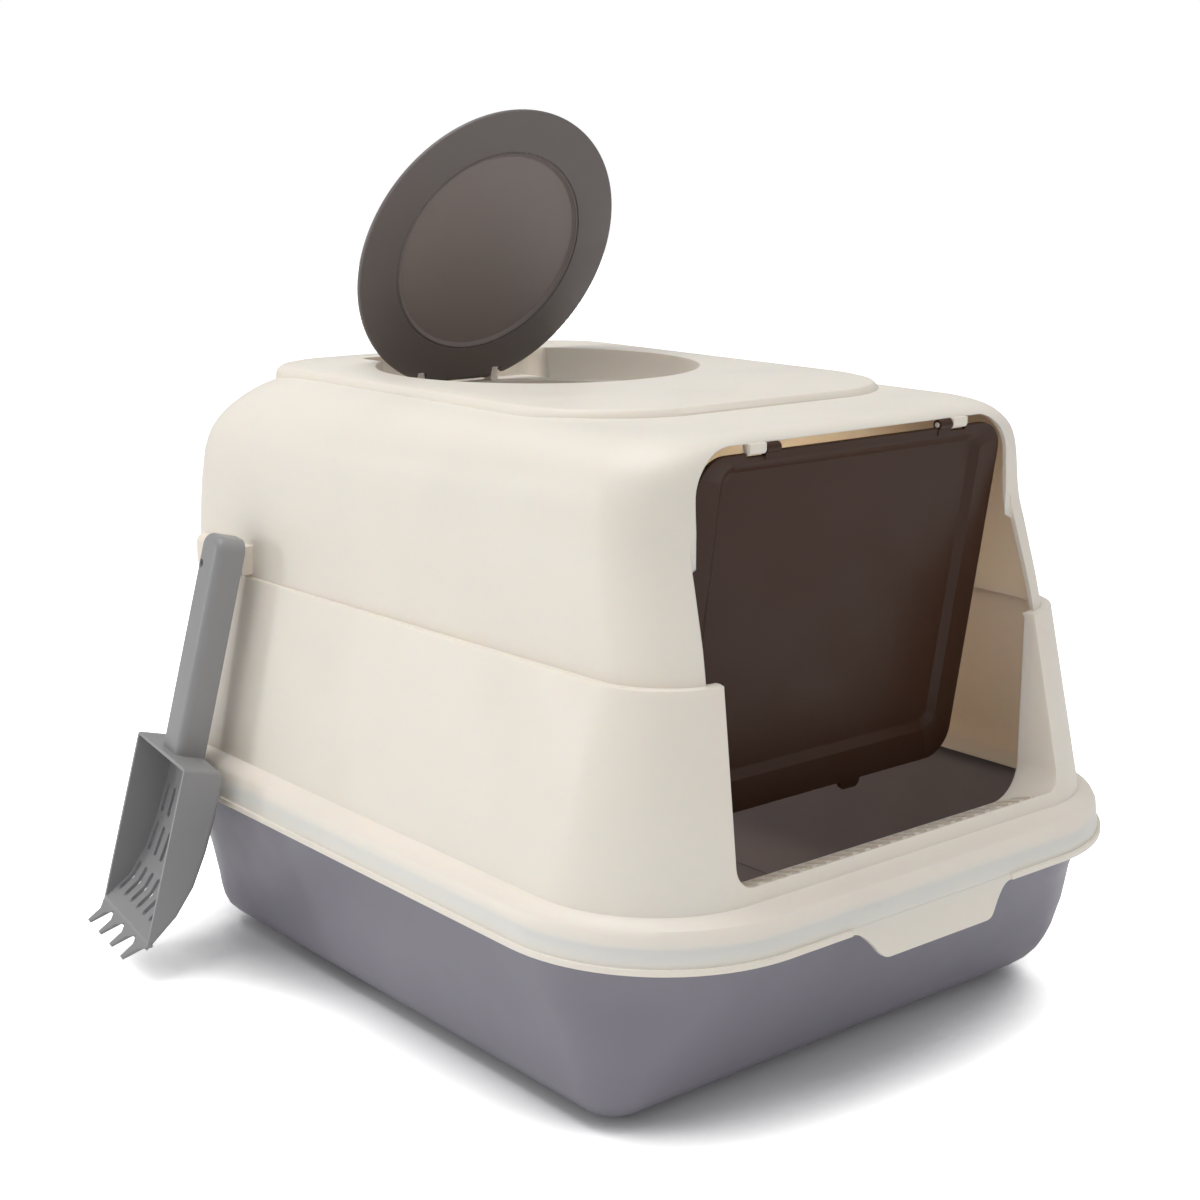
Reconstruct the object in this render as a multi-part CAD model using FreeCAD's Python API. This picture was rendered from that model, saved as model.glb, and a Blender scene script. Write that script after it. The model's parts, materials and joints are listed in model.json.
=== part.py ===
import FreeCAD, Part
import math
import os

# Hooded cat litter box.
# Frame: front faces -Y, width along X, Z up, origin on the ground under the middle of the tray.
# All lengths in millimetres, all angles in degrees.

V = FreeCAD.Vector

# ---- driving dimensions -------------------------------------------------------------------------
WALL = 2.6                   # moulded wall of tray and hood
RIM_HALF_WIDTH = 200.0       # hood rim, the widest part of the box
RIM_HALF_LENGTH = 250.0
RIM_BOTTOM = 101.0           # underside of the hood rim above the ground
RIM_BEAD = 3.0               # small bead round the lower edge of the rim
SEAT = 113.0                 # flat on which the hood rests on the tray
SHOULDER = 118.0             # top of the upright face of the rim
LEDGE = 230.0                # step where the dome leaves the skirt
TOP = 345.0                  # main top of the hood
PAD_TOP = 350.0              # raised pad round the top hole

TRAY_FLOOR = 3.0
TRAY_ROUND = 27.0            # rounding between tray bottom and tray walls

OPEN_HALF = 114.0            # clear half width of the entrance
OPEN_SILL = 125.2            # clear bottom of the entrance
LIP_HALF = 122.0             # entrance at the outer skin of the skirt
LIP_SILL = 134.7
RIB_PITCH = 9.3              # grip ribs on the sill
RIB_COUNT = 23
OPEN_TOP = 339.5             # underside of the front lintel

HOLE_CENTRE = 78.5           # Y of the middle of the top hole
RECESS_RADIUS = 98.0
RECESS_FLOOR_RADIUS = 95.0
RECESS_FLOOR = 331.0
HOLE_RADIUS = 81.0

LID_RADIUS = 93.0
LID_THICK = 3.0
LID_DISC_RADIUS = 65.0
LID_AXIS_Y = 166.0
LID_AXIS_Z = 336.5
LID_BARREL = 3.8             # radius of the lid's hinge barrel
BAY_HALF = 64.0              # bay behind the recess that the lid's hinge swings in
BAY_REAR = 177.0
LID_OPEN = 66.0              # how far the stored lid is swung up from closed
LID_PIN = 2.5                # radius of the lid's hinge pins
PIN_FIT = 0.08               # radial play of every hinge pin

FLAP_AXIS_Y = -188.0
FLAP_AXIS_Z = 336.4
FLAP_HALF = 110.5
FLAP_DROP = 199.4            # from the hinge axis to the lower edge
FLAP_THICK = 2.4
FLAP_SWING = 9.0             # stored inward swing
FLAP_PIN = 1.4               # radius of the pegs the flap hangs on
EAR_RADIUS = 2.8             # flap ears round the pegs
ARM_RADIUS = 2.6             # hood arms that carry the pegs
PEG_X = 74.0                 # middle of each peg arm on the hood

SCOOP_ORIGIN = V(-224.6, 152.9, 133.2)   # middle of the basket's upper rim
SCOOP_WIDE = V(-0.1406, -0.9895, -0.0333)
SCOOP_DEEP = V(0.9611, -0.1283, -0.2447)
SCOOP_UP = V(0.2379, -0.0664, 0.9690)
SCOOP_HALF = 40.0
SCOOP_LENGTH = 110.0
SCOOP_DEPTH = 25.4
SCOOP_WALL = 2.2
HANDLE_TOP = 131.0
HANDLE_HALF = 13.0
HANG_HEIGHT = 112.0          # hanging hole above the basket, along the handle
HANG_SIDE = -6.5             # hanging hole off the middle of the handle
HANG_RADIUS = 2.7
HANG_PEG_RADIUS = 2.3
HANG_PEG_END = 5.4           # free end of the peg, inside the handle's outer wall


# ---- helpers ------------------------------------------------------------------------------------
def rounded_outline(z, front_half, rear_half, front, rear, front_radius, rear_radius):
    """Closed wire at height z: a rounded four-sided outline, wider or narrower at the rear."""
    corners = [V(-front_half, front, z), V(front_half, front, z),
               V(rear_half, rear, z), V(-rear_half, rear, z)]
    radii = [front_radius, front_radius, rear_radius, rear_radius]
    arcs = []
    for i, corner in enumerate(corners):
        to_last = (corners[i - 1] - corner).normalize()
        to_next = (corners[(i + 1) % 4] - corner).normalize()
        half_angle = to_last.getAngle(to_next) / 2.0
        bisector = (to_last + to_next).normalize()
        run = radii[i] / math.tan(half_angle)
        centre = corner + bisector * (radii[i] / math.sin(half_angle))
        arcs.append((corner + to_last * run, centre - bisector * radii[i], corner + to_next * run))
    edges = []
    for i, (start, middle, end) in enumerate(arcs):
        edges.append(Part.Arc(start, middle, end).toShape())
        edges.append(Part.LineSegment(end, arcs[(i + 1) % 4][0]).toShape())
    return Part.Wire(edges)


def refine(sections):
    """Add an outline between each pair, on a curve through all of them."""
    fine = [sections[0]]
    for i in range(1, len(sections)):
        before, after = sections[max(i - 2, 0)], sections[min(i + 1, len(sections) - 1)]
        start, end = sections[i - 1], sections[i]
        fine.append(tuple((9.0 * (b + c) - a - d) / 16.0
                          for a, b, c, d in zip(before, start, end, after)))
        fine.append(end)
    return fine


def stack(sections, inset=0.0, lower=0.0):
    """Solid through a list of outlines, optionally shrunk by inset and lowered."""
    wires = []
    for z, front_half, rear_half, front, rear, front_radius, rear_radius in sections:
        wires.append(rounded_outline(z - lower, front_half - inset, rear_half - inset,
                                     front + inset, rear - inset,
                                     max(front_radius - inset, 2.0), max(rear_radius - inset, 2.0)))
    return Part.makeLoft(wires, True, True)


def prism(points, direction):
    """Solid made by pushing a closed polygon along a vector."""
    return Part.Face(Part.makePolygon(points + [points[0]])).extrude(direction)


def rounded_rect_x(half_a, low, high, radius_low, radius_high, y):
    """Upright rounded rectangle in the plane Y = y, from z low to z high."""
    points = [V(-half_a, y, low), V(half_a, y, low), V(half_a, y, high), V(-half_a, y, high)]
    radii = [radius_low, radius_low, radius_high, radius_high]
    edges, ends = [], []
    for i, corner in enumerate(points):
        to_last = (points[i - 1] - corner).normalize()
        to_next = (points[(i + 1) % 4] - corner).normalize()
        centre = corner + (to_last + to_next) * radii[i]
        middle = centre - (to_last + to_next).normalize() * radii[i]
        ends.append((corner + to_last * radii[i], middle, corner + to_next * radii[i]))
    for i, (start, middle, end) in enumerate(ends):
        edges.append(Part.Arc(start, middle, end).toShape())
        edges.append(Part.LineSegment(end, ends[(i + 1) % 4][0]).toShape())
    return Part.Wire(edges)


def rod_x(x0, x1, y, z, radius):
    return Part.makeCylinder(radius, x1 - x0, V(x0, y, z), V(1, 0, 0))


def both_sides(shape):
    """The shape and its mirror image in the plane X = 0."""
    return [shape, shape.mirror(V(0, 0, 0), V(1, 0, 0))]


def save(name, shape):
    shape = shape.removeSplitter()
    if len(shape.Solids) != 1:
        print("WARNING", name, "has", len(shape.Solids), "solids")
    shape.exportStep("parts/" + name + ".step")
    box = shape.BoundBox
    print("%-12s valid %s  volume %8.1f cm3  X %.1f..%.1f  Y %.1f..%.1f  Z %.1f..%.1f" % (
        name, shape.isValid(), shape.Volume / 1000.0,
        box.XMin, box.XMax, box.YMin, box.YMax, box.ZMin, box.ZMax))


# ---- tray ---------------------------------------------------------------------------------------
# corner radii of the tray wall: (height, front, rear)
TRAY_CORNERS = [(0.0, 24.0, 15.0), (13.0, 25.0, 22.0), (22.0, 27.0, 32.0), (35.0, 31.0, 42.0),
                (54.0, 44.0, 53.0), (79.0, 68.0, 65.0), (SEAT, 86.0, 86.0)]


def corner_radii(z):
    """Front and rear corner radius at height z, between the two nearest table rows."""
    for (z0, front0, rear0), (z1, front1, rear1) in zip(TRAY_CORNERS, TRAY_CORNERS[1:]):
        if z <= z1:
            share = (z - z0) / (z1 - z0)
            return front0 + (front1 - front0) * share, rear0 + (rear1 - rear0) * share
    return TRAY_CORNERS[-1][1:]


def tray_outline(z, inset):
    """Outline of the tray wall at height z, shrunk by inset."""
    share = z / SEAT
    front_radius, rear_radius = corner_radii(z)
    half = 168.0 + 26.0 * share - inset
    return (z, half, half, -188.0 - 55.0 * share + inset, 196.0 + 47.0 * share - inset,
            max(front_radius - inset, 2.0), max(rear_radius - inset, 2.0))


def tray_block(wall, floor):
    """Solid tray body: a flat base, a rounded foot, then the flared wall."""
    radius = TRAY_ROUND - wall
    sections = []
    for degrees in range(15, 91, 15):
        angle = math.radians(degrees)
        foot = radius * (1.0 - math.sin(angle))
        sections.append(tray_outline(floor + radius * (1.0 - math.cos(angle)), wall + foot))
    # low upright step below the rounding, so that the tray stands on a crisp flat
    sections.insert(0, (floor,) + sections[0][1:])
    for z in (35.0, 44.0, 54.0, 66.0, 79.0, 96.0, SEAT):
        sections.append(tray_outline(z, wall))
    return stack(sections)


def make_tray():
    outer = tray_block(0.0, 0.0)
    inner = tray_block(WALL, TRAY_FLOOR)
    # turned-out lip the hood sits on, just inside the hood's rim
    half, length = RIM_HALF_WIDTH - WALL - 2.0, RIM_HALF_LENGTH - WALL - 2.0
    lip = stack([(SEAT - 6.0, half, half, -length, length, 91.4, 75.4),
                 (SEAT, half, half, -length, length, 91.4, 75.4)])
    return outer.fuse(lip).cut(inner)


# ---- hood ---------------------------------------------------------------------------------------
SKIRT = [(SHOULDER + 5.0, 186.5, 187.5, -233.5, 236.5, 76.0, 62.0),
         (LEDGE, 158.5, 169.0, -212.7, 231.0, 45.0, 38.0)]

DOME = refine([
    (LEDGE - 4.0, 153.0, 167.5, -209.6, 231.0, 43.0, 36.0),
    (246.0, 151.5, 167.0, -205.0, 230.5, 42.0, 36.0),
    (262.0, 150.4, 166.5, -200.1, 229.5, 41.0, 36.0),
    (276.0, 149.4, 166.0, -195.8, 228.5, 40.0, 36.0),
    (288.0, 148.0, 165.4, -192.2, 227.4, 39.0, 37.0),
    (300.0, 147.0, 164.5, -190.8, 226.0, 39.0, 38.0),
    (312.0, 146.3, 162.0, -190.2, 222.0, 39.0, 39.0),
    (322.0, 144.8, 156.8, -190.3, 216.8, 40.0, 41.0),
    (330.0, 141.5, 150.5, -190.4, 210.0, 42.0, 43.0),
    (336.0, 135.7, 144.5, -189.8, 203.5, 44.0, 45.0),
    (341.0, 128.2, 137.0, -187.8, 196.0, 46.0, 47.0),
    (344.0, 119.0, 129.0, -183.5, 188.0, 48.0, 49.0),
    (TOP, 110.0, 119.0, -177.0, 179.0, 50.0, 51.0)])

PAD = [(318.0, 126.0, 128.0, -128.0, 209.5, 70.0, 42.0),
       (PAD_TOP - 4.0, 122.0, 124.2, -124.0, 205.7, 67.0, 40.0),
       (PAD_TOP - 1.2, 119.5, 122.0, -121.5, 202.0, 64.5, 38.5),
       (PAD_TOP, 114.5, 118.0, -116.5, 196.5, 60.0, 36.0)]


def rim_outer():
    """Upright rim with its sloping shoulder and the bead along the lower edge."""
    r, h = RIM_HALF_WIDTH, RIM_HALF_LENGTH
    bead = stack([(RIM_BOTTOM, r, r, -h, h, 96.0, 80.0),
                  (RIM_BOTTOM + RIM_BEAD, r, r, -h, h, 96.0, 80.0)])
    face = stack([(RIM_BOTTOM + 0.5, r - 1.6, r - 1.6, -h + 1.6, h - 1.6, 94.4, 78.4),
                  (SHOULDER, r - 3.4, r - 3.4, -h + 3.4, h - 3.4, 92.6, 76.6),
                  (SHOULDER + 3.5, r - 5.4, r - 5.4, -h + 5.4, h - 5.4, 90.6, 74.6),
                  (SHOULDER + 6.5, r - 10.5, r - 10.5, -h + 11.5, h - 11.0, 85.0, 69.0),
                  (SHOULDER + 8.0, r - 15.5, r - 14.5, -h + 18.0, h - 16.0, 79.0, 63.0)])
    return bead.fuse(face)


def front_tab():
    """Grip hanging from the front of the rim, and the stretch of bead that it replaces."""
    half_top, half_low, low, high = 61.0, 40.0, 85.0, RIM_BOTTOM + RIM_BEAD
    points = [V(-half_top, 0, RIM_BOTTOM), V(-half_top + 8.5, 0, RIM_BOTTOM - 3.2),
              V(-half_low - 4.5, 0, low + 4.4), V(-half_low + 4.0, 0, low)]
    curve = Part.BSplineCurve()
    curve.interpolate(Points=points, TangentFlags=[True, False, False, True],
                      Tangents=[V(1, 0, 0), V(0.6, 0, -0.8), V(0.6, 0, -0.8), V(1, 0, 0)])
    left = curve.toShape()
    edges = [left, left.mirror(V(0, 0, 0), V(1, 0, 0)),
             Part.makeLine(V(-half_low + 4.0, 0, low), V(half_low - 4.0, 0, low)),
             Part.makeLine(V(-half_top, 0, RIM_BOTTOM), V(-half_top, 0, high)),
             Part.makeLine(V(-half_top, 0, high), V(half_top, 0, high)),
             Part.makeLine(V(half_top, 0, high), V(half_top, 0, RIM_BOTTOM))]
    pushed = Part.Face(Part.Wire(Part.__sortEdges__(edges))).extrude(V(0, 30, 0))
    pushed.translate(V(0, -RIM_HALF_LENGTH - 15, 0))
    # leaning band: only a wall's thickness of the pushed outline is kept
    top_y, low_y, foot = -RIM_HALF_LENGTH + 1.8, -RIM_HALF_LENGTH - 3.3, 84.0
    lean = [V(-100, low_y, foot), V(-100, top_y, high), V(-100, top_y + 2.4, high),
            V(-100, low_y + 2.6, foot)]
    tab = pushed.common(prism(lean, V(200, 0, 0)))
    bead_y = top_y + (low_y - top_y) * (high - RIM_BOTTOM) / (high - foot)
    bead = prism([V(-half_top, -RIM_HALF_LENGTH - 2, RIM_BOTTOM - 0.1), V(-half_top, bead_y, RIM_BOTTOM - 0.1),
                  V(-half_top, top_y, high + 0.1), V(-half_top, -RIM_HALF_LENGTH - 2, high + 0.1)],
                 V(2.0 * half_top, 0, 0))
    return tab, bead


def entrance_cutters():
    """Tool that opens the entrance, and the funnel-shaped reveal cut from the skirt."""
    hole_wire = rounded_rect_x(OPEN_HALF, OPEN_SILL, OPEN_TOP, 20.0, 24.0, -260.0)
    hole = Part.Face(hole_wire).extrude(V(0, 100, 0))
    hole = hole.cut(Part.makeBox(300.0, 51.0, LEDGE, V(-150.0, -260.0, 0)))
    outer = rounded_rect_x(LIP_HALF + 2.5, LIP_SILL + 2.0, 262.0, 7.0, 2.0, -240.0)
    inner = rounded_rect_x(OPEN_HALF, OPEN_SILL, 262.0, 20.0, 2.0, -208.5)
    reveal = Part.makeLoft([outer, inner], True, True)
    return hole, reveal


def upper_entrance():
    """Slightly wider, tapering mouth of the opening in the dome above the ledge."""
    low = [V(-122.0, -260, LEDGE), V(122.0, -260, LEDGE),
           V(118.3, -260, 286.0), V(115.0, -260, OPEN_TOP - 22.0),
           V(-115.0, -260, OPEN_TOP - 22.0), V(-118.3, -260, 286.0)]
    return prism(low, V(0, 69.5, 0))


def sill_ribs():
    """Slanted grip ribs standing on the sloping sill."""
    slope = (LIP_SILL + 2.0 - OPEN_SILL) / 31.5
    outer_y, inner_y = -229.5, -210.0
    outer_z = OPEN_SILL - slope * (outer_y + 208.5)
    inner_z = OPEN_SILL - slope * (inner_y + 208.5)
    layer = prism([V(-150, outer_y, outer_z - 1.2), V(-150, inner_y, inner_z - 1.2),
                   V(-150, inner_y, inner_z + 1.0), V(-150, outer_y, outer_z + 1.0)], V(300, 0, 0))
    ribs = []
    for i in range(RIB_COUNT):
        x = (i - (RIB_COUNT - 1) / 2.0) * RIB_PITCH
        rib = prism([V(x - 5.6, -235, 115), V(x - 1.8, -235, 115), V(x + 5.6, -205, 115),
                     V(x + 1.8, -205, 115)], V(0, 0, 30))
        ribs.append(rib.common(layer))
    return ribs


def scoop_point(wide, deep, up):
    return SCOOP_ORIGIN + SCOOP_WIDE * wide + SCOOP_DEEP * deep + SCOOP_UP * up


def scoop_hanger():
    """Bracket on the rear left of the hood with the slanting peg the scoop hangs on."""
    bracket = Part.makeBox(10.0, 54.0, 17.0, V(-172.0, 143.0, 232.0))
    upper = [e for e in bracket.Edges if e.BoundBox.XMax < -171.9 and e.BoundBox.ZMin > 248.9]
    bracket = bracket.makeFillet(5.0, upper)
    free_end = scoop_point(HANG_SIDE, HANG_PEG_END, HANG_HEIGHT)
    peg = Part.makeCylinder(HANG_PEG_RADIUS, 29.0, free_end, SCOOP_DEEP)
    peg = peg.makeFillet(0.8, [e for e in peg.Edges if e.Curve.TypeId == "Part::GeomCircle" and
                               e.CenterOfMass.distanceToPoint(free_end) < 1.0])
    return bracket.fuse(peg)


def flap_pegs():
    """Two arms under the lintel, each with a peg pointing inwards for the flap."""
    left, r = PEG_X - 5.5, ARM_RADIUS
    arm = Part.makeBox(11.0, 2.0 * r, OPEN_TOP - FLAP_AXIS_Z, V(left, FLAP_AXIS_Y - r, FLAP_AXIS_Z))
    root = Part.makeBox(11.0, 2.0 * r, 6.0, V(left, FLAP_AXIS_Y - r, FLAP_AXIS_Z))
    arm = arm.fuse([root.common(stack(DOME)), rod_x(left, left + 11.0, FLAP_AXIS_Y, FLAP_AXIS_Z, r)])
    peg = rod_x(PEG_X - 16.0, PEG_X - 4.0, FLAP_AXIS_Y, FLAP_AXIS_Z, FLAP_PIN)
    return both_sides(arm.fuse(peg))


def hinge_bay(grow):
    """Rounded box behind the recess, grown by a wall for the outside of the moulding."""
    half, front = BAY_HALF + grow, HOLE_CENTRE + 40.0
    low, high = RECESS_FLOOR - grow, PAD_TOP if grow else PAD_TOP + 1.0
    bay = Part.makeBox(2.0 * half, BAY_REAR + grow - front, high - low, V(-half, front, low))
    rear = [e for e in bay.Edges if e.BoundBox.YMin > BAY_REAR - 1.0 and e.BoundBox.XLength < 0.01]
    return bay.makeFillet(6.0 + grow, rear)


def lid_lugs():
    """Two lugs standing on the recess floor that hold the lid's hinge pins."""
    lug = Part.makeBox(5.0, 9.0, LID_AXIS_Z - RECESS_FLOOR + 1.0,
                       V(26.0, LID_AXIS_Y - 4.5, RECESS_FLOOR - 1.0))
    lug = lug.fuse(rod_x(26.0, 31.0, LID_AXIS_Y, LID_AXIS_Z, 4.5))
    lug = lug.cut(rod_x(25.0, 32.0, LID_AXIS_Y, LID_AXIS_Z, LID_PIN + PIN_FIT))
    return both_sides(lug)


def make_hood():
    skirt = stack(SKIRT)
    dome = stack(DOME)
    pad = stack(PAD)
    outer = rim_outer().fuse([skirt, dome, pad])

    skirt_hollow = stack([(SHOULDER - 8.0,) + SKIRT[0][1:], SKIRT[0],
                          (LEDGE - 2.5,) + SKIRT[1][1:]], inset=WALL)
    dome_hollow = stack([(LEDGE - 12.0,) + DOME[0][1:]] + DOME, inset=WALL, lower=1.8)
    dome_hollow = dome_hollow.common(Part.makeBox(600, 600, TOP - WALL, V(-300, -300, 0)))
    r, h = RIM_HALF_WIDTH - WALL, RIM_HALF_LENGTH - WALL
    rim_hollow = stack([(RIM_BOTTOM - 5.0, r, r, -h, h, 93.4, 77.4),
                        (SEAT, r - 0.8, r - 0.8, -h + 0.8, h - 0.8, 92.6, 76.6)])
    pad_hollow = stack([(300.0,) + PAD[0][1:], PAD[1], PAD[2], PAD[3]], inset=WALL, lower=WALL)
    shell = outer.cut([skirt_hollow, dome_hollow, rim_hollow, pad_hollow])

    # round recess for the lid, with a floor ring round the hole
    bowl = Part.makeCone(RECESS_FLOOR_RADIUS + WALL, RECESS_RADIUS + WALL,
                         PAD_TOP - RECESS_FLOOR + WALL,
                         V(0, HOLE_CENTRE, RECESS_FLOOR - WALL), V(0, 0, 1))
    bowl_hollow = Part.makeCone(RECESS_FLOOR_RADIUS, RECESS_RADIUS, PAD_TOP - RECESS_FLOOR + 0.5,
                                V(0, HOLE_CENTRE, RECESS_FLOOR), V(0, 0, 1))
    hole = Part.makeCylinder(HOLE_RADIUS, 60.0, V(0, HOLE_CENTRE, RECESS_FLOOR - 30.0))
    bay, bay_hollow = hinge_bay(WALL), hinge_bay(0.0)
    shell = shell.fuse([bowl, bay]).cut([bowl_hollow, bay_hollow, hole])

    # entrance frame: a plate behind the skirt's front carries the reveal and the sill
    frame_wire = rounded_rect_x(LIP_HALF + 14.0, SEAT + 2.0, LEDGE + 6.0, 10.0, 6.0, -240.0)
    frame = Part.Face(frame_wire).extrude(V(0, 33.0, 0))
    frame = frame.common(stack([(SEAT,) + SKIRT[0][1:], SKIRT[0], SKIRT[1]], inset=0.6))
    frame_hollow = stack([(SEAT - 1.0,) + SKIRT[0][1:], SKIRT[0],
                          (LEDGE + 8.0,) + SKIRT[1][1:]], inset=WALL)
    keep = rounded_rect_x(OPEN_HALF + 12.0, OPEN_SILL - 6.5, LEDGE + 20.0, 22.0, 2.0, -260.0)
    keep = Part.Face(keep).extrude(V(0, 54.0, 0))
    frame = frame.cut(frame_hollow.cut(keep))
    opening, reveal = entrance_cutters()
    shell = shell.fuse(frame).cut([opening, reveal, upper_entrance()])

    tab, bead = front_tab()
    shell = shell.cut(bead)
    return shell.fuse([tab.cut(rim_hollow), scoop_hanger()] + flap_pegs() + lid_lugs() + sill_ribs())


# ---- lid ----------------------------------------------------------------------------------------
def make_lid():
    """Round lid, modelled closed in the recess and then swung up to where it is stored."""
    under = RECESS_FLOOR + 0.6
    centre = V(0, HOLE_CENTRE, under)
    plate = Part.makeCylinder(LID_RADIUS, LID_THICK, centre)
    plate = plate.makeFillet(1.2, [e for e in plate.Edges if e.Length > 100.0])
    plate = plate.cut(Part.makeBox(200, 40, 20, V(-100, LID_AXIS_Y - 2.0, under - 5)))
    plate = plate.cut(both_sides(Part.makeBox(7.0, 30, 20, V(25.4, LID_AXIS_Y - 5.8, under - 5))))
    raised = Part.makeCone(LID_DISC_RADIUS + 3.0, LID_DISC_RADIUS, 2.0,
                           centre + V(0, 0, LID_THICK - 0.01))
    hollow = Part.makeCone(LID_DISC_RADIUS, LID_DISC_RADIUS - 2.0, 2.0, centre + V(0, 0, -0.01))
    groove = Part.makeTorus(LID_DISC_RADIUS + 1.2, 0.7, centre)
    plate = plate.fuse(raised).cut([hollow, groove])
    barrel = rod_x(-25.4, 25.4, LID_AXIS_Y, LID_AXIS_Z, LID_BARREL)
    web = Part.makeBox(50.8, 10.0, LID_AXIS_Z - under, V(-25.4, LID_AXIS_Y - 10.0, under))
    web = web.common(Part.makeBox(60, 10.0, 3.0, V(-30, LID_AXIS_Y - 10.0, under)).fuse(
        rod_x(-30, 30, LID_AXIS_Y, LID_AXIS_Z, LID_BARREL)))
    pins = rod_x(-30.5, 30.5, LID_AXIS_Y, LID_AXIS_Z, LID_PIN)
    lid = plate.fuse([web, barrel, pins])
    lid.rotate(V(0, LID_AXIS_Y, LID_AXIS_Z), V(1, 0, 0), -LID_OPEN)
    return lid


# ---- entry flap ---------------------------------------------------------------------------------
def flap_plate(half, top, low, radius, y, thick):
    face = Part.Face(rounded_rect_x(half, low, top, radius, radius, y))
    return face.extrude(V(0, thick, 0))


def make_flap():
    """Swing flap, modelled hanging straight and then swung inwards."""
    top = FLAP_AXIS_Z - 1.6
    low = FLAP_AXIS_Z - FLAP_DROP
    front = FLAP_AXIS_Y - FLAP_THICK / 2.0
    flap = flap_plate(FLAP_HALF, top, low, 17.0, front, FLAP_THICK)
    notch = Part.makeBox(12.4, 20.0, 10.0, V(PEG_X - 6.2, front - 8.0, top - 2.0))
    flap = flap.cut(both_sides(notch))
    # the middle field is pressed back behind a sloping step
    step, margin = 3.2, 15.0
    inner_top, inner_low, inner_half = top - 5.0, low + 19.0, FLAP_HALF - margin
    def field(grow, y0, y1, shrink):
        outer = rounded_rect_x(inner_half + grow, inner_low - grow, inner_top + grow, 9.0, 9.0, y0)
        inner = rounded_rect_x(inner_half + grow - shrink, inner_low - grow + shrink,
                               inner_top + grow - shrink, 6.0, 6.0, y1)
        return Part.makeLoft([outer, inner], True, True)
    back = field(2.4, front + FLAP_THICK - 0.1, front + FLAP_THICK + step, 5.0)
    hollow = field(0.0, front - 0.1, front + step, 5.0)
    flap = flap.fuse(back).cut(hollow)
    # finger tab on the lower edge
    tab = flap_plate(7.5, low + 4.0, low - 5.0, 3.5, front, FLAP_THICK)
    tab.translate(V(32.0, 0, 0))
    flap = flap.fuse(tab)
    # two ears that ride on the pegs
    x0, x1 = PEG_X - 15.5, PEG_X - 6.2
    ear = rod_x(x0, x1, FLAP_AXIS_Y, FLAP_AXIS_Z, EAR_RADIUS)
    ear = ear.fuse(Part.makeBox(x1 - x0, 3.0, 5.0, V(x0, FLAP_AXIS_Y - 1.8, FLAP_AXIS_Z - 5.5)))
    ear = ear.cut(rod_x(x0 - 1, x1 + 1, FLAP_AXIS_Y, FLAP_AXIS_Z, FLAP_PIN + PIN_FIT))
    flap = flap.fuse(both_sides(ear))
    flap.rotate(V(0, FLAP_AXIS_Y, FLAP_AXIS_Z), V(1, 0, 0), FLAP_SWING)
    return flap


# ---- scoop --------------------------------------------------------------------------------------
def side_prism(profile, x0, x1):
    """Solid from a (deep, up) profile, from x0 to x1 across the scoop."""
    return prism([V(x0, y, z) for y, z in profile], V(x1 - x0, 0, 0))


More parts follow.
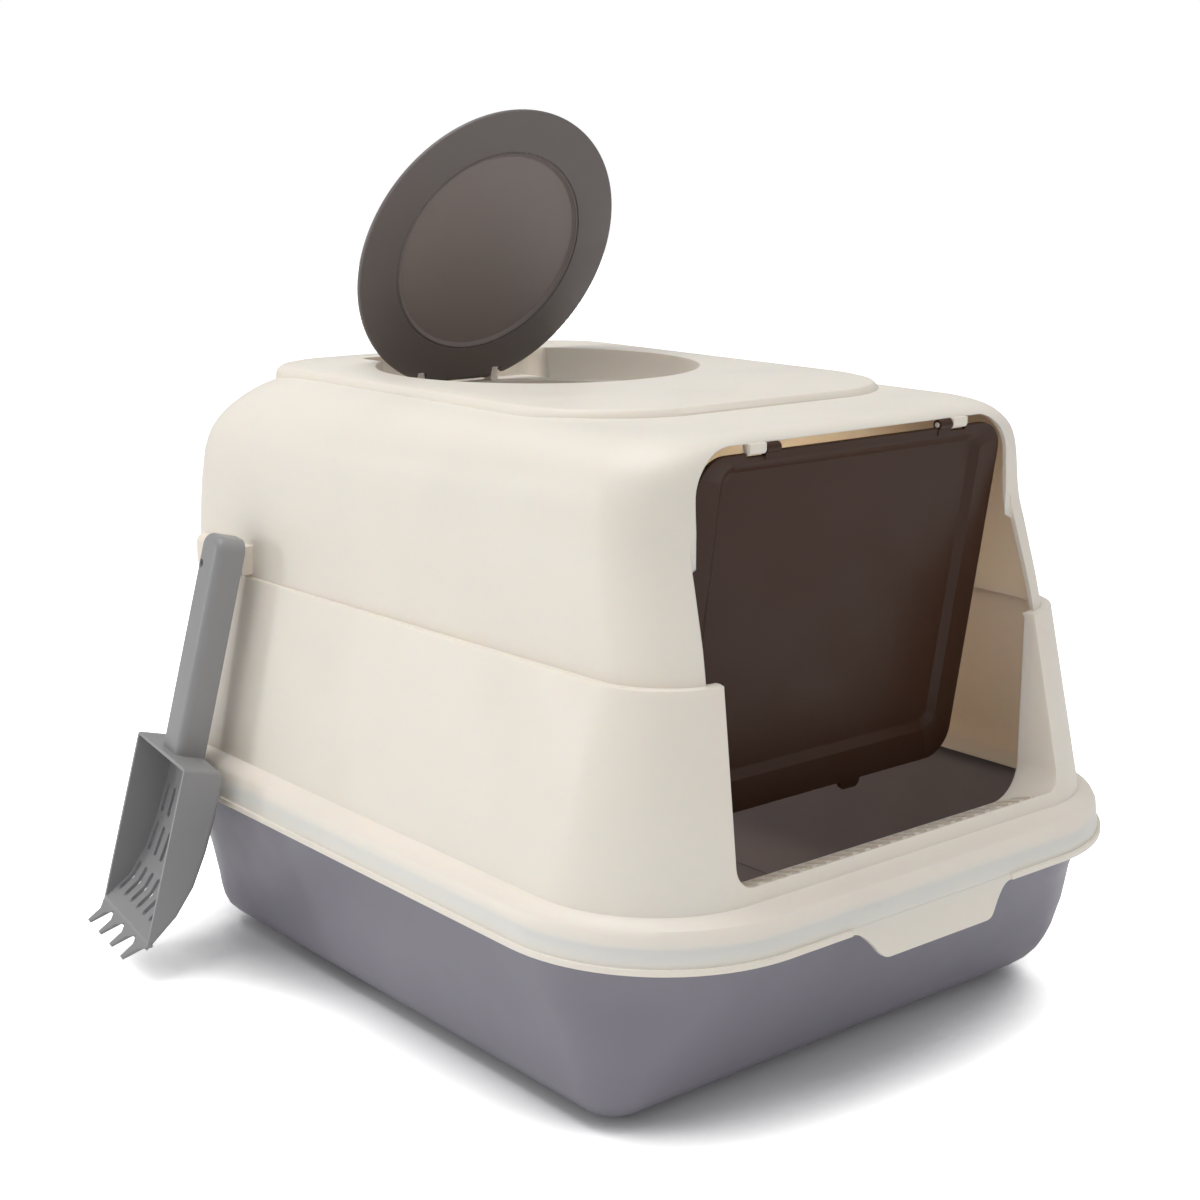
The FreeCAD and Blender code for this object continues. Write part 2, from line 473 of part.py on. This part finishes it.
def make_scoop():
    """Scoop, modelled upright (X wide, Y deep, Z up the handle) and then placed on its peg."""
    w, d, t, length = SCOOP_HALF, SCOOP_DEPTH, SCOOP_WALL, SCOOP_LENGTH
    # (deep, up) points of the sweep of the floor from the top to the teeth
    sweep = [(d, -28.0), (24.2, -50.0), (21.2, -71.0), (14.6, -89.5)]
    outer = side_prism([(0, 0), (d, 0)] + sweep + [(1.6, -length), (0, -length)], -w, w)
    rear = [e for e in outer.Edges if e.BoundBox.YMin > d - 0.1 and e.BoundBox.ZMin > -0.1]
    outer = outer.makeFillet(5.5, rear)
    sides = [e for e in outer.Edges if e.BoundBox.XLength < 0.01 and e.BoundBox.YMin > 1.0 and
             e.BoundBox.ZMax < -5.0 and e.Length > 10.0]
    outer = outer.makeFillet(3.0, sides)
    inner = side_prism([(-1, -t), (d - t, -t)] + [(y - t, z + 0.3) for y, z in sweep] +
                       [(-1.6, -length + 3.2)], -w + t, w - t)
    basket = outer.cut(inner)
    # floor runs on past the rim line into four pointed teeth that curl outwards
    blade = side_prism([(3.4, -length + 3.0), (1.6, -length), (-9.8, -length - 9.0),
                        (-10.6, -length - 8.0), (-1.4, -length + 0.8), (1.4, -length + 4.4)], -w, w)
    pitch = 2.0 * w / 4.0
    for i in range(4):
        left = -w + i * pitch
        right = left + pitch
        gap = Part.Face(Part.makePolygon([V(left, 0, 1), V(left + pitch * 0.30, 0, -2.2),
                                          V(left + pitch * 0.44, 0, -11.5), V(left, 0, -11.5),
                                          V(left, 0, 1)]))
        for side in (gap, gap.mirror(V((left + right) / 2.0, 0, 0), V(1, 0, 0))):
            cutter = side.extrude(V(0, 60, 0))
            cutter.translate(V(0, -30, -length + 1.0))
            blade = blade.cut(cutter)
    basket = basket.fuse(blade)
    # three rows of sifting slots along the floor
    for row_top in (-29.0, -54.0, -80.0):
        for column in range(-3, 4):
            slot = Part.makeBox(4.2, 40.0, 18.5, V(column * 11.0 - 2.1, 4.0, row_top - 18.5))
            slot = slot.makeFillet(1.9, [e for e in slot.Edges if e.BoundBox.YLength > 39.0])
            basket = basket.cut(slot)
    # hollow handle, rounded on the outer side and open towards the hood
    base_out, base_in, top_out, top_in = 4.8, 22.5, 3.2, 20.6
    handle = side_prism([(base_out, -4.0), (base_in, -4.0), (top_in, HANDLE_TOP), (top_out, HANDLE_TOP)],
                        -HANDLE_HALF, HANDLE_HALF)
    ends = [e for e in handle.Edges if e.BoundBox.ZMin > HANDLE_TOP - 0.1 and e.BoundBox.YLength > 5.0]
    handle = handle.makeFillet(8.0, ends)
    ridges = [e for e in handle.Edges if e.BoundBox.YMax < 4.9 and e.BoundBox.ZMax > 0.0]
    handle = handle.makeFillet(5.0, ridges)
    channel = side_prism([(base_out + 2.6, 3.0), (base_in + 3, 3.0), (top_in + 3, HANDLE_TOP - 3.0),
                          (top_out + 2.6, HANDLE_TOP - 3.0)], -HANDLE_HALF + 2.6, HANDLE_HALF - 2.6)
    tops = [e for e in channel.Edges if e.BoundBox.ZMin > HANDLE_TOP - 3.1 and e.BoundBox.YLength > 5.0]
    channel = channel.makeFillet(5.5, tops)
    ridges = [e for e in channel.Edges if e.BoundBox.YMax < base_out + 2.7 and e.BoundBox.ZMax > 4.0]
    channel = channel.makeFillet(2.6, ridges)
    scoop = basket.fuse(handle.cut(channel))
    scoop = scoop.cut(side_prism([(0, -t), (d - t, -t), (d - t, -6), (0, -8)], -w + t, w - t))
    hang = Part.makeCylinder(HANG_RADIUS, 12.0, V(HANG_SIDE, -2.0, HANG_HEIGHT), V(0, 1, 0))
    scoop = scoop.cut(hang)
    # turn into place
    x, y, z, o = SCOOP_WIDE, SCOOP_DEEP, SCOOP_UP, SCOOP_ORIGIN
    place = FreeCAD.Matrix(x.x, y.x, z.x, o.x, x.y, y.y, z.y, o.y, x.z, y.z, z.z, o.z, 0, 0, 0, 1)
    rotation = FreeCAD.Placement(place)
    scoop.Placement = rotation.multiply(scoop.Placement)
    return scoop


os.makedirs("parts", exist_ok=True)
save("tray", make_tray())
save("hood", make_hood())
save("top_lid", make_lid())
save("entry_flap", make_flap())
save("scoop", make_scoop())
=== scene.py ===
import json
import math

import bmesh
import bpy
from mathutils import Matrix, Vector


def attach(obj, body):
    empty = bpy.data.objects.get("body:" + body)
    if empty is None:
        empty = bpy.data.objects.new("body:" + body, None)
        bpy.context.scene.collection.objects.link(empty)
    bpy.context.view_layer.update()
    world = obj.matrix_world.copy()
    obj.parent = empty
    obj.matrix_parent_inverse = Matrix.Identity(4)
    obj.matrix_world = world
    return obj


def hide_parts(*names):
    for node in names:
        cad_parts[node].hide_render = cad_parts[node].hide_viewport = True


# Hooded cat litter box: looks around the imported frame. Metres, front -Y, Z up.

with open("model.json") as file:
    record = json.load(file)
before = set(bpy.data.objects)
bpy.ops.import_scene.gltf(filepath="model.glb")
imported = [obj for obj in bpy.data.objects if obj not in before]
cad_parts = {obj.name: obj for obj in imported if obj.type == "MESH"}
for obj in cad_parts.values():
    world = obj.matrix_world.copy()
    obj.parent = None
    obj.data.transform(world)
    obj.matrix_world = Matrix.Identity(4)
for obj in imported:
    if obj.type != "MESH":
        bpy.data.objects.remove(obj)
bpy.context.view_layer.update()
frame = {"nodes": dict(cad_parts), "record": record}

WHITE = (1.0, 1.0, 1.0, 1.0)
EDGE_ROUNDING = 0.0006               # radius that the shading gives to sharp edges
SMOOTH_BELOW = math.radians(32.0)    # facets that meet at less than this are shaded as one
LID_CENTRE = (0.0, 0.1273, 0.4151)   # middle of the lid where it is stored
DISC_EDGE = (0.0635, 0.0665)         # radius over which the lid's disc turns into its ring
AIM = (0.0, 0.0, 0.2)                # point that the studio lights face
TOWARDS_KEY = (-0.70, 0.58, 0.42)
FLOOR_HALF = 6.0


# ---- camera ---------------------------------------------------------------------------------------
def look_along(heading, fall):
    """Rotation of a camera turned by heading from +Y towards +X and tipped down by fall, in degrees."""
    return (math.radians(90.0 - fall), 0.0, -math.radians(heading))


camera = bpy.data.objects.new("camera", bpy.data.cameras.new("camera"))
bpy.context.scene.collection.objects.link(camera)
camera.location = (-0.7417, -0.8793, 0.4817)
camera.rotation_euler = look_along(39.53, 12.94)
camera.data.sensor_width = 36.0
camera.data.lens = 59.9
camera.data.clip_start = 0.05
camera.data.clip_end = 50.0
bpy.context.scene.camera = camera


# ---- node helpers ---------------------------------------------------------------------------------
class Shader:
    """A material under construction: adds nodes and links them with few words."""

    def __init__(self, name):
        self.material = bpy.data.materials.new(name)
        self.material.use_nodes = True
        self.tree = self.material.node_tree
        self.tree.nodes.clear()
        self.output = self.add("ShaderNodeOutputMaterial")
        self.bsdf = self.add("ShaderNodeBsdfPrincipled")
        self.link(self.bsdf.outputs["BSDF"], self.output.inputs["Surface"])
        self.coords = self.add("ShaderNodeTexCoord").outputs["Object"]

    def add(self, kind, **settings):
        node = self.tree.nodes.new(kind)
        for key, value in settings.items():
            setattr(node, key, value)
        return node

    def link(self, source, target):
        self.tree.links.new(source, target)

    def set(self, **values):
        """Plain values on the shader's own sockets; underscores stand for spaces."""
        for key, value in values.items():
            self.bsdf.inputs[key.replace("_", " ")].default_value = value

    def noise(self, scale, detail=4.0):
        node = self.add("ShaderNodeTexNoise")
        node.inputs["Scale"].default_value = scale
        node.inputs["Detail"].default_value = detail
        node.inputs["Roughness"].default_value = 0.5
        self.link(self.coords, node.inputs["Vector"])
        return node.outputs["Fac"]

    def spread(self, value, low, high, start=0.3, end=0.7):
        """Map start..end smoothly to low..high."""
        node = self.add("ShaderNodeMapRange", interpolation_type="SMOOTHSTEP")
        limits = {"From Min": start, "From Max": end, "To Min": low, "To Max": high}
        for socket, limit in limits.items():
            node.inputs[socket].default_value = limit
        self.link(value, node.inputs["Value"])
        return node.outputs["Result"]

    def ramp(self, value, stops):
        node = self.add("ShaderNodeValToRGB")
        node.color_ramp.interpolation = "EASE"
        elements = node.color_ramp.elements
        while len(elements) < len(stops):
            elements.new(0.5)
        for element, (place, colour) in zip(elements, stops):
            element.position = place
            element.color = (*colour, 1.0)
        self.link(value, node.inputs["Fac"])
        return node.outputs["Color"]

    def product(self, first, second):
        node = self.add("ShaderNodeMath", operation="MULTIPLY")
        self.link(first, node.inputs[0])
        self.link(second, node.inputs[1])
        return node.outputs[0]

    def blend(self, amount, first, second):
        """Mix a colour socket with a plain colour. The Mix node's colour sockets are 6, 7 and out 2."""
        node = self.add("ShaderNodeMix", data_type="RGBA")
        self.link(amount, node.inputs[0])
        self.link(first, node.inputs[6])
        node.inputs[7].default_value = (*second, 1.0)
        return node.outputs[2]

    def bump(self, height, strength, distance, normal):
        node = self.add("ShaderNodeBump")
        node.inputs["Strength"].default_value = strength
        node.inputs["Distance"].default_value = distance
        self.link(height, node.inputs["Height"])
        self.link(normal, node.inputs["Normal"])
        return node.outputs["Normal"]


# ---- materials ------------------------------------------------------------------------------------
def shade(colour, factor):
    return tuple(min(1.0, channel * factor) for channel in colour)


def moulded_plastic(name, colour, roughness, tint=None, grain=0.5, specular=0.5, waves=0.10):
    """Injection-moulded satin plastic: cloudy colour, fine spark grain and softened edges."""
    s = Shader(name)
    cloud = s.noise(7.0, detail=3.0)
    stops = [(0.3, shade(colour, 0.965)), (0.52, colour), (0.72, tint or shade(colour, 1.03))]
    s.link(s.ramp(cloud, stops), s.bsdf.inputs["Base Color"])
    patches = s.noise(24.0, detail=5.0)
    s.link(s.spread(patches, roughness - 0.05, roughness + 0.06), s.bsdf.inputs["Roughness"])
    s.set(Specular_IOR_Level=specular, IOR=1.49)
    bevel = s.add("ShaderNodeBevel", samples=6)
    bevel.inputs["Radius"].default_value = EDGE_ROUNDING
    wave = s.bump(s.noise(9.0, detail=2.0), waves, 0.0006, bevel.outputs["Normal"])
    fine = s.bump(s.noise(1900.0, detail=2.0), grain, 0.00003, wave)
    s.link(fine, s.bsdf.inputs["Normal"])
    return s


def cream_plastic(name):
    """Hood plastic, which lets a little warm light into its surface."""
    s = moulded_plastic(name, (0.835, 0.768, 0.685), 0.42, tint=(0.85, 0.785, 0.71))
    s.set(Subsurface_Weight=0.3, Subsurface_Scale=0.007, Subsurface_Radius=(1.0, 0.55, 0.28))
    return s.material


def lid_plastic_with_painted_light_disc(name):
    """Lid plastic whose middle disc is painted a touch lighter than the ring round it: painted light,
    with the ring standing for the shaded slope and the disc for the lit middle.
    """
    s = moulded_plastic(name, (0.150, 0.131, 0.127), 0.42)
    ring = s.bsdf.inputs["Base Color"].links[0].from_socket
    distance = s.add("ShaderNodeVectorMath", operation="DISTANCE")
    distance.inputs[1].default_value = LID_CENTRE
    s.link(s.coords, distance.inputs[0])
    # painted light: the disc within DISC_EDGE of LID_CENTRE is coloured lighter than the ring, in place
    # of the shade on the sloped ring
    disc = s.spread(distance.outputs["Value"], 1.0, 0.0, *DISC_EDGE)
    s.link(s.blend(disc, ring, (0.225, 0.190, 0.182)), s.bsdf.inputs["Base Color"])
    return s.material


def smoky_plastic(name):
    """Tinted, slightly see-through flap plastic."""
    s = moulded_plastic(name, (0.058, 0.026, 0.016), 0.34, grain=0.05, specular=0.17, waves=0.0)
    s.set(Transmission_Weight=0.15)
    return s.material


tray_plastic = moulded_plastic("tray_plastic", (0.205, 0.194, 0.232), 0.38, tint=(0.225, 0.213, 0.252))
scoop_plastic = moulded_plastic("scoop_plastic", (0.265, 0.265, 0.27), 0.40)


# ---- pieces ---------------------------------------------------------------------------------------
def smooth_copy(node, material):
    """A welded copy of a CAD node with smooth shading across its shallow facets."""
    source = frame["nodes"][node]
    mesh = bpy.data.meshes.new(node + "_skin")
    mesh.from_pydata([v.co.copy() for v in source.data.vertices], [],
                     [tuple(p.vertices) for p in source.data.polygons])
    work = bmesh.new()
    work.from_mesh(mesh)
    bmesh.ops.remove_doubles(work, verts=work.verts, dist=2e-6)
    for face in work.faces:
        face.smooth = True
    for edge in work.edges:
        edge.smooth = len(edge.link_faces) == 2 and edge.calc_face_angle(0.0) < SMOOTH_BELOW
    work.to_mesh(mesh)
    work.free()
    skin = bpy.data.objects.new(node + "_skin", mesh)
    bpy.context.scene.collection.objects.link(skin)
    mesh.materials.append(material)
    bodies = frame["record"]["behaviour"]["bodies"]
    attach(skin, next(body for body, members in bodies.items() if node in members))
    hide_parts(node)


smooth_copy("tray", tray_plastic.material)
smooth_copy("hood", cream_plastic("hood_plastic"))
smooth_copy("top_lid", lid_plastic_with_painted_light_disc("lid_plastic"))
smooth_copy("entry_flap", smoky_plastic("flap_plastic"))
smooth_copy("scoop", scoop_plastic.material)


# ---- floor and light ------------------------------------------------------------------------------
def studio_floor():
    """Pale floor that also glows. The glow isn't plain light: it is painted, as told below."""
    mesh = bpy.data.meshes.new("studio_floor")
    h = FLOOR_HALF
    mesh.from_pydata([(-h, -h, 0), (h, -h, 0), (h, h, 0), (-h, h, 0)], [], [(0, 1, 2, 3)])
    floor = bpy.data.objects.new("studio_floor", mesh)
    bpy.context.scene.collection.objects.link(floor)
    s = Shader("studio_floor")
    pale = s.ramp(s.noise(3.0), [(0.3, (0.90, 0.90, 0.90)), (0.7, (0.93, 0.93, 0.93))])
    s.link(pale, s.bsdf.inputs["Base Color"])
    s.set(Roughness=0.9, Specular_IOR_Level=0.1, Emission_Color=WHITE)
    # painted shadow: the glow fades where the box stands between the floor and TOWARDS_KEY
    open_sky = s.add("ShaderNodeAmbientOcclusion", samples=12)
    open_sky.inputs["Distance"].default_value = 0.13
    open_sky.inputs["Normal"].default_value = TOWARDS_KEY
    glow = s.spread(open_sky.outputs["AO"], 0.0, 0.95, start=0.3, end=0.62)
    # the camera sees the whole glow, and the box is lit by a fifth of it
    to_camera = s.add("ShaderNodeLightPath").outputs["Is Camera Ray"]
    seen = s.spread(to_camera, 0.2, 1.0, start=0.0, end=1.0)
    s.link(s.product(glow, seen), s.bsdf.inputs["Emission Strength"])
    mesh.materials.append(s.material)


def studio_world():
    """White surroundings: the camera sees them twice as bright as they light the box."""
    world = bpy.data.worlds.new("studio")
    bpy.context.scene.world = world
    world.use_nodes = True
    nodes, links = world.node_tree.nodes, world.node_tree.links
    nodes.clear()
    output = nodes.new("ShaderNodeOutputWorld")
    mix = nodes.new("ShaderNodeMixShader")
    links.new(nodes.new("ShaderNodeLightPath").outputs["Is Camera Ray"], mix.inputs[0])
    for socket, strength in ((1, 0.50), (2, 1.0)):
        background = nodes.new("ShaderNodeBackground")
        background.inputs["Color"].default_value = WHITE
        background.inputs["Strength"].default_value = strength
        links.new(background.outputs[0], mix.inputs[socket])
    links.new(mix.outputs[0], output.inputs["Surface"])


def softbox(name, place, target, width, height, watts):
    data = bpy.data.lights.new(name, "AREA")
    data.shape = "RECTANGLE"
    data.size, data.size_y, data.energy = width, height, watts
    light = bpy.data.objects.new(name, data)
    bpy.context.scene.collection.objects.link(light)
    light.location = place
    aim = Vector(target) - Vector(place)
    light.rotation_euler = aim.to_track_quat("-Z", "Y").to_euler()
    return light


studio_floor()
studio_world()
softbox("key_light", (-2.3, 1.75, 0.62), AIM, 0.40, 0.40, 10.0)
softbox("top_light", (-0.5, 0.1, 2.2), AIM, 1.6, 1.6, 25.0)
softbox("front_light", (0.6, -2.2, 1.0), AIM, 1.4, 1.2, 1.5)
# hidden warm lamp inside the cabin, not a studio light: it makes the inside of the hood tan
cabin_lamp = softbox("cabin_glow", (0.02, 0.02, 0.315), (0.06, 0.02, 0.1), 0.16, 0.16, 0.26)
cabin_lamp.data.color = (1.0, 0.80, 0.56)
cabin_lamp.visible_camera = False
cabin_lamp.visible_glossy = False
bpy.context.scene.view_settings.view_transform = "Standard"
